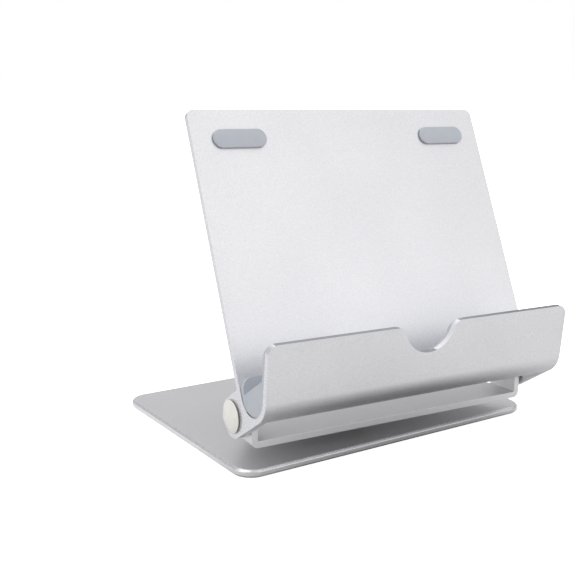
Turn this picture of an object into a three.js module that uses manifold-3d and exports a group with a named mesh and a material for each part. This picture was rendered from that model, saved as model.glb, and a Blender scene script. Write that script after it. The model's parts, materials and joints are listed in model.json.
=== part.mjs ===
// Tablet stand: a flat base, a swivelling U bracket and a tilting J-shaped holder.
// Millimetres, +Z up. The origin is on the swivel axis, on the desk. The lip faces -Y.
import * as THREE from 'three';
import { mergeVertices } from 'three/addons/utils/BufferGeometryUtils.js';
import Module from 'manifold-3d';

const wasm = await Module();
wasm.setup();

// ---- Driving dimensions ----
const BASE_WIDTH = 180;
const BASE_DEPTH = 123;
const BASE_THICKNESS = 3.9;
const BASE_CORNER = 10;
const BASE_CHAMFER = 1;
const BASE_TURN = THREE.MathUtils.degToRad(3.9); // the base, seen from the bracket, at rest

const FOOT_HEIGHT = 0.8; // what the feet lift the base by
const FOOT_RADIUS = 8;
const FOOT_POCKET = 0.8;
const FOOT_X = 74;
const FOOT_Y = 46;

const BRACKET_WIDTH = 159.4;
const SHEET = 3.1; // bracket sheet and back plate
const BRACKET_GAP = 9.15; // clear height between base and bracket
const BRACKET_FRONT = -63.8;
const BEND_OUTER = 3.2;
const BEND_INNER = 0.6;
const EAR_DEPTH = 18;
const WING_DEPTH = 22; // the full-width strip of the bracket plate
const WING_HALF = 75;
const TONGUE_RADIUS = 28;

const HINGE_HEIGHT = 27.4;
const HINGE_HOLE = 3.3;
const HINGE_SHAFT = 3;

const HOLDER_WIDTH = 170;
const LEAN = THREE.MathUtils.degToRad(25.2); // back plate, from upright
const LIP_LEAN = THREE.MathUtils.degToRad(4);
const PLATE_LENGTH = 135.6; // straight part of the back plate
const PLATE_CORNER = 3.4;
const TROUGH_INNER = 10.2;
const LIP_SHEET = 2.7;
const LIP_LENGTH = 26.2; // straight part of the lip
const LIP_CORNER = 4.8;
const TROUGH_FORWARD = 17.9; // trough centre, in front of the hinge axis
const TROUGH_UP = 15.5; // and above it
const CHEEK_THICKNESS = 4;
const CHEEK_RISE = 4.3; // where the cheek leaves the back plate, above the trough bend
const CHEEK_SINK = 0.4; // how far its corner is sunk in the plate
const TAPER_END = 9; // the sheet thins from here down to the trough bend
const BOSS_RADIUS = 9.4;
const BOSS_FORWARD = 0.3; // boss centre, in front of the hinge axis
const BOSS_DROP = 0.6; // and below it

const NOTCH_RADIUS = 14.5;
const NOTCH_SHOULDER = 5;
const NOTCH_DEPTH = 13.7;

const LINER_BACK = 2.6; // liner wall on the back plate
const LINER_FRONT = 2.3; // liner wall on the lip
const LINER_REST_BACK = 1; // the sloping rest surface meets the back wall here,
const LINER_REST_FRONT = 8.8; // and the lip wall here, both above the trough bend
const LINER_BACK_RISE = 8.4; // liner's back edge, above the trough bend
const LINER_LOW = 1.2; // liner's front edge, below the top of the lip
const LINER_CORNER = 5.5;
const LINER_END = 0.4; // the liner stops short of the holder's ends

const PAD_LENGTH = 28.2;
const PAD_WIDTH = 9.3;
const PAD_HEIGHT = 1.5;
const PAD_ROUND = 0.6;
const PAD_X = 60.2;
const PAD_BELOW_TOP = 14.9;

const FIT = 0.2; // glued or seated pieces
const CLEARANCE = 0.25; // pieces that turn on each other
const SLIP = 0.05; // faces that rest on each other
const SQUEEZE = 0.1; // room left beside a washer
const OVERCUT = 1; // how far a cutting tool reaches past a face

const BUSH_FLANGE = 0.8;
const BUSH_FLANGE_RADIUS = 20;
const HUB_RADIUS = 21;
const HUB_SCREW_CIRCLE = 15;
const HUB_SCREWS = 3;
const BOLT_RADIUS = 4;
const BOLT_HEAD_RADIUS = 9;
const BOLT_HEAD = 1.2;
const RECESS_RADIUS = 12;
const COVER_RADIUS = 17;
const COVER_THICKNESS = 1.2;
const WEB = 1.4; // base left above the pivot recess
const SLEEVE_WALL = 2;
const PIVOT_WASHER = 0.4;
const PIVOT_WASHER_INSET = 0.5;
const BOLT_REACH = 2; // the swivel bolt ends this far below the bracket
const SCREW_REACH = 5; // the hub screws end this far below it
const SCREW_RADIUS = 1.5;
const SCREW_HEAD_RADIUS = 3;
const SCREW_HEAD_EDGE = 0.3;
const SCREW_SOCKET_RADIUS = 1.15;
const SCREW_SOCKET_DEPTH = 1.3;

const HEAD_RADIUS = 6; // hinge bolt
const COUNTERBORE = HEAD_RADIUS + FIT;
const COUNTERBORE_DEPTH = 2.2;
const SOCKET_RADIUS = 2.8;
const SOCKET_DEPTH = 1.3;
const SPIGOT_RADIUS = 2;
const BOLT_PAST_NUT = 2;
const NUT_THICKNESS = 4.5;
const NUT_RADIUS = 5.7;
const WAVE_THICKNESS = 0.6;
const WAVE_RADIUS = 5.6;
const FRICTION_RADIUS = 7.6;
const CAP_RADIUS = 7.8;
const CAP_GAP = 0.35; // between cap and cheek
const CAP_RIM = 0.5;
const CAP_DOME = 2.3;
const ROUND_STEPS = 32;
const SMALL_STEPS = 24;

// ---- Derived levels ----
const BASE_TOP = FOOT_HEIGHT + BASE_THICKNESS;
const BRACKET_BOTTOM = BASE_TOP + BRACKET_GAP;
const BRACKET_TOP = BRACKET_BOTTOM + SHEET;
const EAR_OUTER = BRACKET_WIDTH / 2;
const EAR_INNER = EAR_OUTER - SHEET;
const CHEEK_OUTER = HOLDER_WIDTH / 2;
const CHEEK_INNER = CHEEK_OUTER - CHEEK_THICKNESS;
const HINGE_Y = BRACKET_FRONT + EAR_DEPTH / 2;
const BUSH_TOP = BASE_TOP + SLIP + BUSH_FLANGE;
const BOLT_END = BRACKET_BOTTOM - BOLT_REACH;
const HUB_SCREW_END = BRACKET_BOTTOM - SCREW_REACH;

// ---- Materials ----
function material(color, roughness, metalness) {
  return new THREE.MeshStandardMaterial({ color, roughness, metalness });
}

const aluminium = () => material(0xd2d3d7, 0.42, 1);
const steel = () => material(0xa8a9ac, 0.35, 1);
const silicone = () => material(0xbcc2ca, 0.6, 0);
const darkSilicone = () => material(0x8f9499, 0.7, 0);
const capPlastic = () => material(0xe9e6da, 0.3, 0);
const nylon = () => material(0x3a3b3e, 0.5, 0);

// ---- Solids ----
function solid(geometry) {
  const bare = geometry.index ? geometry.toNonIndexed() : geometry.clone();
  bare.deleteAttribute('normal');
  bare.deleteAttribute('uv');
  const merged = mergeVertices(bare, 1e-4);
  const corners = merged.index.array;
  const kept = [];
  for (let i = 0; i < corners.length; i += 3) {
    const [a, b, c] = [corners[i], corners[i + 1], corners[i + 2]];
    if (a !== b && b !== c && c !== a) {
      kept.push(a, b, c);
    }
  }
  const vertProperties = new Float32Array(merged.attributes.position.array);
  const triVerts = new Uint32Array(kept);
  return new wasm.Manifold(new wasm.Mesh({ numProp: 3, vertProperties, triVerts }));
}

function meshOf(name, body, look) {
  const { vertProperties, triVerts } = body.getMesh();
  const geometry = new THREE.BufferGeometry();
  geometry.setAttribute('position', new THREE.BufferAttribute(new Float32Array(vertProperties), 3));
  geometry.setIndex(new THREE.BufferAttribute(new Uint32Array(triVerts), 1));
  geometry.computeVertexNormals();
  const mesh = new THREE.Mesh(geometry, look);
  mesh.name = name;
  return mesh;
}

function cutAll(body, tools) {
  return tools.reduce((left, tool) => left.subtract(tool), body);
}

// ---- Outlines ----
function point(x, y) {
  return new THREE.Vector2(x, y);
}

function arc(centre, radius, from, to, steps = 12) {
  const points = [];
  for (let i = 0; i <= steps; i += 1) {
    const angle = from + ((to - from) * i) / steps;
    points.push(point(centre.x + radius * Math.cos(angle), centre.y + radius * Math.sin(angle)));
  }
  return points;
}

function roundedRectangle(width, height, radius) {
  const x = width / 2 - radius;
  const y = height / 2 - radius;
  return [
    ...arc(point(x, y), radius, 0, Math.PI / 2),
    ...arc(point(-x, y), radius, Math.PI / 2, Math.PI),
    ...arc(point(-x, -y), radius, Math.PI, 1.5 * Math.PI),
    ...arc(point(x, -y), radius, 1.5 * Math.PI, 2 * Math.PI),
  ];
}

function stadium(length, width) {
  const radius = width / 2;
  const x = length / 2 - radius;
  return [
    ...arc(point(x, 0), radius, -Math.PI / 2, Math.PI / 2),
    ...arc(point(-x, 0), radius, Math.PI / 2, 1.5 * Math.PI),
  ];
}

// ---- Prisms and turned bodies ----
const ALONG_X = new THREE.Matrix4().makeBasis(
  new THREE.Vector3(0, 1, 0), new THREE.Vector3(0, 0, 1), new THREE.Vector3(1, 0, 0),
);
const ALONG_Y = new THREE.Matrix4().makeBasis(
  new THREE.Vector3(1, 0, 0), new THREE.Vector3(0, 0, 1), new THREE.Vector3(0, -1, 0),
);

function extrude(points, depth, bevel = 0) {
  return new THREE.ExtrudeGeometry(new THREE.Shape(points), {
    depth: depth - 2 * bevel,
    bevelEnabled: bevel > 0,
    bevelThickness: bevel,
    bevelSize: bevel,
    bevelOffset: -bevel,
    bevelSegments: 1,
  }).translate(0, 0, bevel);
}

// A (y, z) outline, extruded from x = from to x = to.
function prismX(points, from, to) {
  return extrude(points, to - from).applyMatrix4(ALONG_X).translate(from, 0, 0);
}

// An (x, z) outline, extruded from y = from to y = to.
function prismY(points, from, to) {
  return extrude(points, to - from).applyMatrix4(ALONG_Y).translate(0, to, 0);
}

// An (x, y) outline, extruded upward from z = from to z = to.
function prismZ(points, from, to, bevel = 0) {
  return extrude(points, to - from, bevel).translate(0, 0, from);
}

// A profile of [radius, height] pairs, turned about Z.
function turned(profile, steps = ROUND_STEPS) {
  const points = profile.map(([radius, height]) => point(radius, height));
  return new THREE.LatheGeometry(points, steps).rotateX(Math.PI / 2);
}

// The same about the hinge axis. Heights run outward from the middle, to the given side.
function turnedOut(profile, side, steps = SMALL_STEPS) {
  const points = profile.map(([radius, height]) => point(radius, height));
  return new THREE.LatheGeometry(points, steps).rotateZ((-side * Math.PI) / 2);
}

function disc(radius, from, to) {
  return turned([[0, from], [radius, from], [radius, to], [0, to]]);
}

function discOut(radius, from, to, side, steps = SMALL_STEPS) {
  return turnedOut([[0, from], [radius, from], [radius, to], [0, to]], side, steps);
}

function ring(inner, outer, from, to) {
  return turned([[inner, from], [outer, from], [outer, to], [inner, to], [inner, from]]);
}

function ringOut(inner, outer, from, to, side) {
  return turnedOut([[inner, from], [outer, from], [outer, to], [inner, to], [inner, from]], side);
}

// ---- Base ----
function basePlate() {
  const outline = roundedRectangle(BASE_WIDTH, BASE_DEPTH, BASE_CORNER);
  const plate = solid(prismZ(outline, FOOT_HEIGHT, BASE_TOP, BASE_CHAMFER));
  const webBottom = BASE_TOP - WEB;
  const tools = [
    solid(disc(BOLT_RADIUS + SLEEVE_WALL, 0, BASE_TOP + OVERCUT)),
    solid(disc(RECESS_RADIUS, 0, webBottom)),
    solid(disc(COVER_RADIUS + FIT, 0, COVER_THICKNESS + FIT)),
  ];
  for (const x of [-FOOT_X, FOOT_X]) {
    for (const y of [-FOOT_Y, FOOT_Y]) {
      const top = FOOT_HEIGHT + FOOT_POCKET;
      tools.push(solid(disc(FOOT_RADIUS + FIT, 0, top).translate(x, y, 0)));
    }
  }
  return meshOf('base_plate', cutAll(plate, tools), aluminium());
}

function footPad(name, x, y) {
  const top = FOOT_HEIGHT + FOOT_POCKET - FIT;
  return meshOf(name, solid(disc(FOOT_RADIUS, 0, top).translate(x, y, 0)), darkSilicone());
}

function baseGroup() {
  const group = new THREE.Group();
  group.rotation.z = BASE_TURN;
  group.add(basePlate());
  group.add(footPad('foot_pad_front_left', -FOOT_X, -FOOT_Y));
  group.add(footPad('foot_pad_front_right', FOOT_X, -FOOT_Y));
  group.add(footPad('foot_pad_rear_left', -FOOT_X, FOOT_Y));
  group.add(footPad('foot_pad_rear_right', FOOT_X, FOOT_Y));
  return group;
}

// ---- Swivel, on the Z axis ----
function pivotCoverPad() {
  return meshOf('pivot_cover_pad', solid(disc(COVER_RADIUS, 0, COVER_THICKNESS)), darkSilicone());
}

// A flanged sleeve in the base: it centres the bolt and the bracket glides on its flange.
function swivelBush() {
  const bore = BOLT_RADIUS + CLEARANCE;
  const sleeve = BOLT_RADIUS + SLEEVE_WALL - FIT;
  const seat = BASE_TOP + SLIP;
  const profile = [
    [bore, BASE_TOP - WEB],
    [sleeve, BASE_TOP - WEB],
    [sleeve, seat],
    [BUSH_FLANGE_RADIUS, seat],
    [BUSH_FLANGE_RADIUS, seat + BUSH_FLANGE],
    [bore, seat + BUSH_FLANGE],
    [bore, BASE_TOP - WEB],
  ];
  return meshOf('swivel_bush', solid(turned(profile)), nylon());
}

function swivelWaveWasher() {
  const top = BASE_TOP - WEB - SQUEEZE;
  const outer = BOLT_HEAD_RADIUS - PIVOT_WASHER_INSET;
  const washer = ring(BOLT_RADIUS + CLEARANCE, outer, top - PIVOT_WASHER, top);
  return meshOf('swivel_wave_washer', solid(washer), steel());
}

function swivelBolt() {
  const headTop = BASE_TOP - WEB - PIVOT_WASHER - 2 * SQUEEZE;
  const profile = [
    [0, headTop - BOLT_HEAD],
    [BOLT_HEAD_RADIUS, headTop - BOLT_HEAD],
    [BOLT_HEAD_RADIUS, headTop],
    [BOLT_RADIUS, headTop],
    [BOLT_RADIUS, BOLT_END],
    [0, BOLT_END],
  ];
  return meshOf('swivel_bolt', solid(turned(profile)), steel());
}

function hubScrewPlaces() {
  const places = [];
  for (let i = 0; i < HUB_SCREWS; i += 1) {
    const angle = Math.PI / 2 + (i * 2 * Math.PI) / HUB_SCREWS;
    places.push([HUB_SCREW_CIRCLE * Math.cos(angle), HUB_SCREW_CIRCLE * Math.sin(angle)]);
  }
  return places;
}

// A countersunk M3 screw's outline, grown by room on every side of its hole.
function countersunk(room) {
  const shaft = SCREW_RADIUS + room;
  const head = SCREW_HEAD_RADIUS + room;
  const edge = BRACKET_TOP - SCREW_HEAD_EDGE;
  return [
    [0, HUB_SCREW_END - room],
    [shaft, HUB_SCREW_END - room],
    [shaft, edge - SCREW_HEAD_RADIUS + SCREW_RADIUS],
    [head, edge],
    [head, BRACKET_TOP + room],
    [0, BRACKET_TOP + room],
  ];
}

function swivelHub() {
  const bottom = BUSH_TOP + CLEARANCE;
  const body = solid(disc(HUB_RADIUS, bottom, BRACKET_BOTTOM - SLIP));
  const tools = [solid(disc(BOLT_RADIUS + FIT, 0, BOLT_END + FIT))];
  for (const [x, y] of hubScrewPlaces()) {
    tools.push(solid(turned(countersunk(FIT), SMALL_STEPS).translate(x, y, 0)));
  }
  return meshOf('swivel_hub', cutAll(body, tools), aluminium());
}

function hubScrew(name, x, y) {
  const body = solid(turned(countersunk(0), SMALL_STEPS));
  const hexagon = arc(point(0, 0), SCREW_SOCKET_RADIUS, 0, (5 * Math.PI) / 3, 5);
  const floor = BRACKET_TOP - SCREW_SOCKET_DEPTH;
  const socket = solid(prismZ(hexagon, floor, BRACKET_TOP + OVERCUT));
  const mesh = meshOf(name, body.subtract(socket), steel());
  mesh.position.set(x, y, -FIT);
  return mesh;
}

// ---- Bracket ----
// The sheet's section across the stand: a U with two bends.
function bracketSection() {
  const top = HINGE_HEIGHT + EAR_DEPTH / 2;
  const outer = EAR_OUTER - BEND_OUTER;
  const inner = EAR_INNER - BEND_INNER;
  const low = BRACKET_BOTTOM + BEND_OUTER;
  const floor = BRACKET_TOP + BEND_INNER;
  return [
    point(EAR_OUTER, top),
    point(EAR_INNER, top),
    ...arc(point(inner, floor), BEND_INNER, 0, -Math.PI / 2, 4),
    ...arc(point(-inner, floor), BEND_INNER, -Math.PI / 2, -Math.PI, 4),
    point(-EAR_INNER, top),
    point(-EAR_OUTER, top),
    ...arc(point(-outer, low), BEND_OUTER, Math.PI, 1.5 * Math.PI, 8),
    ...arc(point(outer, low), BEND_OUTER, 1.5 * Math.PI, 2 * Math.PI, 8),
  ];
}

// An ear from the side: straight edges up to a full round on the hinge axis.
function earSide() {
  const half = EAR_DEPTH / 2;
  return [
    point(HINGE_Y - half, BRACKET_BOTTOM - OVERCUT),
    point(HINGE_Y + half, BRACKET_BOTTOM - OVERCUT),
    ...arc(point(HINGE_Y, HINGE_HEIGHT), half, 0, Math.PI, 24),
  ];
}

// The plate from above: a strip between the ears, tapering to a round end on the swivel.
function bracketPlan() {
  const back = BRACKET_FRONT + WING_DEPTH;
  const reach = Math.hypot(WING_HALF, back);
  const toCentre = Math.atan2(-back, WING_HALF);
  const taper = toCentre + Math.asin(TONGUE_RADIUS / reach);
  const from = Math.PI / 2 - taper;
  return [
    point(-WING_HALF, BRACKET_FRONT),
    point(WING_HALF, BRACKET_FRONT),
    point(WING_HALF, back),
    ...arc(point(0, 0), TONGUE_RADIUS, from, Math.PI - from, 24),
    point(-WING_HALF, back),
  ];
}

function swivelBracket() {
  const section = solid(prismY(bracketSection(), BRACKET_FRONT, BRACKET_FRONT + EAR_DEPTH));
  const reach = EAR_OUTER + OVERCUT;
  const ears = section.intersect(solid(prismX(earSide(), -reach, reach)));
  const plate = solid(prismZ(bracketPlan(), BRACKET_BOTTOM, BRACKET_TOP));
  const tools = [];
  for (const side of [-1, 1]) {
    const hole = discOut(HINGE_HOLE, EAR_INNER - OVERCUT, reach, side, ROUND_STEPS);
    tools.push(solid(hole.translate(0, HINGE_Y, HINGE_HEIGHT)));
  }
  for (const [x, y] of hubScrewPlaces()) {
    tools.push(solid(turned(countersunk(FIT), SMALL_STEPS).translate(x, y, 0)));
  }
  return meshOf('swivel_bracket', cutAll(ears.add(plate), tools), aluminium());
}

// ---- Holder: positions are (y, z) from the hinge axis ----
const TROUGH = point(-TROUGH_FORWARD, TROUGH_UP);
const TROUGH_OUTER = TROUGH_INNER + LIP_SHEET;
const BOSS = point(-BOSS_FORWARD, -BOSS_DROP);
const PLATE_UP = point(Math.sin(LEAN), Math.cos(LEAN));
const PLATE_BACK = point(Math.cos(LEAN), -Math.sin(LEAN));
const LIP_UP = point(-Math.sin(LIP_LEAN), Math.cos(LIP_LEAN));
const LIP_OUT = point(-Math.cos(LIP_LEAN), -Math.sin(LIP_LEAN));

// A point on the back plate: up from the trough bend, and back from its front face.
function onPlate(up, back) {
  const out = TROUGH_INNER + back;
  return point(
    TROUGH.x + PLATE_UP.x * up + PLATE_BACK.x * out,
    TROUGH.y + PLATE_UP.y * up + PLATE_BACK.y * out,
  );
}

// A point on the lip: up from the trough bend, and out from its inner face.
function onLip(up, outward) {
  const out = TROUGH_INNER + outward;
  return point(
    TROUGH.x + LIP_UP.x * up + LIP_OUT.x * out,
    TROUGH.y + LIP_UP.y * up + LIP_OUT.y * out,
  );
}

// The trough's bend, from the lip's side round to the back plate's.
function troughArc(radius) {
  return arc(TROUGH, radius, -Math.PI + LIP_LEAN, -LEAN, 20);
}

function holderSection() {
  return [
    onLip(LIP_LENGTH, 0),
    ...troughArc(TROUGH_INNER),
    onPlate(PLATE_LENGTH, 0),
    onPlate(PLATE_LENGTH, SHEET),
    onPlate(TAPER_END, SHEET),
    ...troughArc(TROUGH_OUTER).reverse(),
    onLip(LIP_LENGTH, LIP_SHEET),
  ];
}

// The cheek: the boss round the hinge, blended by tangents into trough and back plate.
function cheekSection() {
  const toTrough = TROUGH.clone().sub(BOSS);
  const spread = Math.acos((BOSS_RADIUS - TROUGH_OUTER) / toTrough.length());
  const under = toTrough.angle() + spread - 2 * Math.PI;
  const corner = onPlate(CHEEK_RISE, SHEET - CHEEK_SINK);
  const toCorner = corner.clone().sub(BOSS);
  const over = toCorner.angle() - Math.acos(BOSS_RADIUS / toCorner.length());
  const reachIn = TROUGH_INNER + LIP_SHEET / 2;
  return [
    corner,
    ...arc(TROUGH, reachIn, -LEAN, under, 10),
    point(TROUGH.x + TROUGH_OUTER * Math.cos(under), TROUGH.y + TROUGH_OUTER * Math.sin(under)),
    ...arc(BOSS, BOSS_RADIUS, under, over, SMALL_STEPS),
  ];
}

// What is cut from a square corner to round it: the corner is at (0, 0), growing outward.
function cornerCutter(radius, side) {
  const round = arc(point(-radius, -radius), radius, 0, Math.PI / 2, 10);
  const outline = [
    ...round,
    point(-radius, OVERCUT),
    point(OVERCUT, OVERCUT),
    point(OVERCUT, -radius),
  ];
  return outline.map((p) => point(side * p.x, p.y));
}

// Places an (x, up) outline in a leaning face; it reaches from -before to +behind it.
function leaningPrism(outline, origin, lean, before, behind) {
  return prismY(outline, -before, behind).rotateX(-lean).translate(0, origin.x, origin.y);
}

function notchSection(top, drop) {
  const centreZ = top - NOTCH_DEPTH + NOTCH_RADIUS;
  const shoulderZ = top - NOTCH_SHOULDER;
  const reach = NOTCH_RADIUS + NOTCH_SHOULDER;
  const shoulderX = Math.sqrt(reach ** 2 - (centreZ - shoulderZ) ** 2);
  const turn = Math.atan2(centreZ - shoulderZ, shoulderX);
  const over = 3 * OVERCUT;
  const outline = [
    ...arc(point(shoulderX, shoulderZ), NOTCH_SHOULDER, Math.PI / 2, Math.PI - turn, 6),
    ...arc(point(0, centreZ), NOTCH_RADIUS, -turn, -Math.PI + turn, 24).slice(1, -1),
    ...arc(point(-shoulderX, shoulderZ), NOTCH_SHOULDER, turn, Math.PI / 2, 6),
    point(-shoulderX, top + over),
    point(shoulderX, top + over),
  ];
  return outline.map((p) => point(p.x, p.y - drop));
}

// The notch's prism through the lip, or lowered by drop through the liner on it.
function notchCutter(drop) {
  const lipTop = onLip(LIP_LENGTH, LIP_SHEET);
  return prismY(notchSection(lipTop.y, drop), lipTop.x - LIP_SHEET, lipTop.x + 3 * LIP_SHEET);
}

function tiltHolder() {
  let body = solid(prismX(holderSection(), -CHEEK_OUTER, CHEEK_OUTER));
  for (const side of [-1, 1]) {
    const ends = [side * CHEEK_INNER, side * CHEEK_OUTER].sort((a, b) => a - b);
    body = body.add(solid(prismX(cheekSection(), ends[0], ends[1])));
  }
  const plateTop = onPlate(PLATE_LENGTH, 0);
  const lipTop = onLip(LIP_LENGTH, LIP_SHEET);
  const tools = [];
  for (const side of [-1, 1]) {
    const plateCorner = leaningPrism(cornerCutter(PLATE_CORNER, side), plateTop, LEAN, 2, 6);
    tools.push(solid(plateCorner.translate(side * CHEEK_OUTER, 0, 0)));
    const lipCorner = leaningPrism(cornerCutter(LIP_CORNER, side), lipTop, -LIP_LEAN, 2, 5);
    tools.push(solid(lipCorner.translate(side * CHEEK_OUTER, 0, 0)));
    const end = CHEEK_OUTER + OVERCUT;
    tools.push(solid(discOut(HINGE_HOLE, CHEEK_INNER - OVERCUT, end, side, ROUND_STEPS)));
    tools.push(solid(discOut(COUNTERBORE, CHEEK_OUTER - COUNTERBORE_DEPTH, end, side)));
  }
  tools.push(solid(notchCutter(0)));
  return meshOf('tilt_holder', cutAll(body, tools), aluminium());
}

// ---- Silicone on the holder ----
function linerSection() {
  const frontTop = LIP_LENGTH - LINER_LOW;
  return [
    onLip(frontTop, -FIT),
    ...troughArc(TROUGH_INNER - FIT),
    onPlate(LINER_BACK_RISE, -FIT),
    onPlate(LINER_BACK_RISE, -LINER_BACK),
    onPlate(LINER_REST_BACK, -LINER_BACK),
    onLip(LINER_REST_FRONT, -LINER_FRONT),
    onLip(frontTop, -LINER_FRONT),
  ];
}

function troughLiner() {
  const end = CHEEK_OUTER - LINER_END;
  const frontTop = onLip(LIP_LENGTH - LINER_LOW, 0);
  const backTop = onPlate(LINER_BACK_RISE, 0);
  const tools = [solid(notchCutter(LINER_LOW))];
  for (const side of [-1, 1]) {
    const backCorner = leaningPrism(cornerCutter(LINER_CORNER, side), backTop, LEAN, 4, 1);
    tools.push(solid(backCorner.translate(side * end, 0, 0)));
    const frontCorner = leaningPrism(cornerCutter(LIP_CORNER, side), frontTop, -LIP_LEAN, 1, 4);
    tools.push(solid(frontCorner.translate(side * end, 0, 0)));
  }
  const body = solid(prismX(linerSection(), -end, end));
  return meshOf('trough_liner', cutAll(body, tools), silicone());
}

function cornerPad(name, side) {
  const place = onPlate(PLATE_LENGTH - PAD_BELOW_TOP, -FIT);
  const pad = extrude(stadium(PAD_LENGTH, PAD_WIDTH), PAD_HEIGHT + PAD_ROUND, PAD_ROUND);
  const glueSide = prismZ(roundedRectangle(2 * PAD_LENGTH, 2 * PAD_WIDTH, 1), -1, PAD_ROUND);
  const mesh = meshOf(name, solid(pad).subtract(solid(glueSide)), silicone());
  mesh.position.set(side * PAD_X, place.x, place.y);
  mesh.rotation.x = Math.PI / 2 - LEAN;
  mesh.translateZ(-PAD_ROUND);
  return mesh;
}

// ---- Hinge hardware, mirrored left and right ----
function hingeBolt(name, side) {
  const headBottom = CHEEK_OUTER - COUNTERBORE_DEPTH + FIT;
  const headTop = CHEEK_OUTER - FIT;
  const tip = EAR_INNER - WAVE_THICKNESS - NUT_THICKNESS - BOLT_PAST_NUT;
  const profile = [
    [0, tip],
    [HINGE_SHAFT, tip],
    [HINGE_SHAFT, headBottom],
    [HEAD_RADIUS, headBottom],
    [HEAD_RADIUS, headTop],
    [0, headTop],
  ];
  const hexagon = arc(point(0, 0), SOCKET_RADIUS, 0, (5 * Math.PI) / 3, 5);
  const ends = [side * (headTop - SOCKET_DEPTH), side * CHEEK_OUTER].sort((a, b) => a - b);
  const body = solid(turnedOut(profile, side, ROUND_STEPS));
  return meshOf(name, body.subtract(solid(prismX(hexagon, ends[0], ends[1]))), steel());
}

// A domed cap with a spigot that plugs into the bolt's socket.
function hingeCap(name, side) {
  const seat = CHEEK_OUTER + CAP_GAP;
  const rim = seat + CAP_RIM;
  const sphere = (CAP_RADIUS ** 2 + CAP_DOME ** 2) / (2 * CAP_DOME);
  const half = Math.asin(CAP_RADIUS / sphere);
  const dome = [];
  const steps = 6;
  for (let i = 0; i <= steps; i += 1) {
    const angle = half * (1 - i / steps);
    const height = rim + sphere * (Math.cos(angle) - Math.cos(half));
    dome.push([sphere * Math.sin(angle), height]);
  }
  const profile = [
    [0, seat - SOCKET_DEPTH],
    [SPIGOT_RADIUS, seat - SOCKET_DEPTH],
    [SPIGOT_RADIUS, seat],
    [CAP_RADIUS, seat],
    ...dome,
  ];
  return meshOf(name, solid(turnedOut(profile, side, 40)), capPlastic());
}

function frictionWasher(name, side) {
  const washer = ringOut(HINGE_HOLE, FRICTION_RADIUS, EAR_OUTER + FIT, CHEEK_INNER - FIT, side);
  return meshOf(name, solid(washer), nylon());
}

function hingeWaveWasher(name, side) {
  const outer = EAR_INNER - FIT;
  const inner = outer - WAVE_THICKNESS + FIT;
  const washer = ringOut(HINGE_HOLE, WAVE_RADIUS, inner, outer, side);
  return meshOf(name, solid(washer), steel());
}

function hingeNut(name, side) {
  const outer = EAR_INNER - WAVE_THICKNESS - FIT;
  const ends = [side * (outer - NUT_THICKNESS), side * outer].sort((a, b) => a - b);
  const hexagon = arc(point(0, 0), NUT_RADIUS, Math.PI / 6, (11 * Math.PI) / 6, 5);
  const body = solid(prismX(hexagon, ends[0], ends[1]));
  const bore = solid(discOut(HINGE_SHAFT + FIT, 0, EAR_INNER, side, ROUND_STEPS));
  return meshOf(name, body.subtract(bore), steel());
}

function holderGroup() {
  const group = new THREE.Group();
  group.position.set(0, HINGE_Y, HINGE_HEIGHT);
  group.add(tiltHolder());
  group.add(troughLiner());
  for (const [word, side] of [['left', -1], ['right', 1]]) {
    group.add(cornerPad(`corner_pad_${word}`, side));
    group.add(hingeBolt(`hinge_bolt_${word}`, side));
    group.add(hingeCap(`hinge_cap_${word}`, side));
    group.add(frictionWasher(`friction_washer_${word}`, side));
    group.add(hingeWaveWasher(`hinge_wave_washer_${word}`, side));
    group.add(hingeNut(`hinge_nut_${word}`, side));
  }
  return group;
}

function swivelGroup() {
  const group = new THREE.Group();
  group.add(pivotCoverPad());
  group.add(swivelBush());
  group.add(swivelWaveWasher());
  group.add(swivelBolt());
  group.add(swivelHub());
  group.add(swivelBracket());
  hubScrewPlaces().forEach(([x, y], i) => {
    group.add(hubScrew(`hub_screw_${i + 1}`, x, y));
  });
  return group;
}

const tabletStand = new THREE.Group();
tabletStand.add(baseGroup());
tabletStand.add(swivelGroup());
tabletStand.add(holderGroup());

export default tabletStand;
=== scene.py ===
import json
import math

import bmesh
import bpy
from mathutils import Matrix, Vector


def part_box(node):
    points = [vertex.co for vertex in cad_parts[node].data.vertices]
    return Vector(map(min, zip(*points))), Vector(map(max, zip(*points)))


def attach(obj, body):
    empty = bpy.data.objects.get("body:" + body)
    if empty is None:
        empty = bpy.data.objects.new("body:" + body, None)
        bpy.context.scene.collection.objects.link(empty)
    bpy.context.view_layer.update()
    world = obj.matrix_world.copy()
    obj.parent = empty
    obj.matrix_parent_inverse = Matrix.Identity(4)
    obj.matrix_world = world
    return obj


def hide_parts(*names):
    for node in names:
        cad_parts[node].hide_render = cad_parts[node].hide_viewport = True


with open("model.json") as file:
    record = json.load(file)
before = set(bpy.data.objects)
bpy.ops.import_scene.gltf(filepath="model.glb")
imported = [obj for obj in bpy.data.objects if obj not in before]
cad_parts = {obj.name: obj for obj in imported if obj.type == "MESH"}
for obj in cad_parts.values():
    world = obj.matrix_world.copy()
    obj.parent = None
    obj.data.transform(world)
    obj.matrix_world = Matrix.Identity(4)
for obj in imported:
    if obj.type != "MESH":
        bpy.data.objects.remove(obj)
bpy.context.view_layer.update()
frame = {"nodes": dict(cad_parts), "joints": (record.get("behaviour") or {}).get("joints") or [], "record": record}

MM = 0.001

# ---- Sizes from the frame ----
HINGE = Vector(next(j["pos_m"] for j in frame["joints"] if j["name"] == "tilt"))
BASE_LOW, BASE_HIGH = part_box("base_plate")
BRACKET_LOW, BRACKET_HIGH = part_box("swivel_bracket")
HOLDER_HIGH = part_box("tilt_holder")[1]

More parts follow.
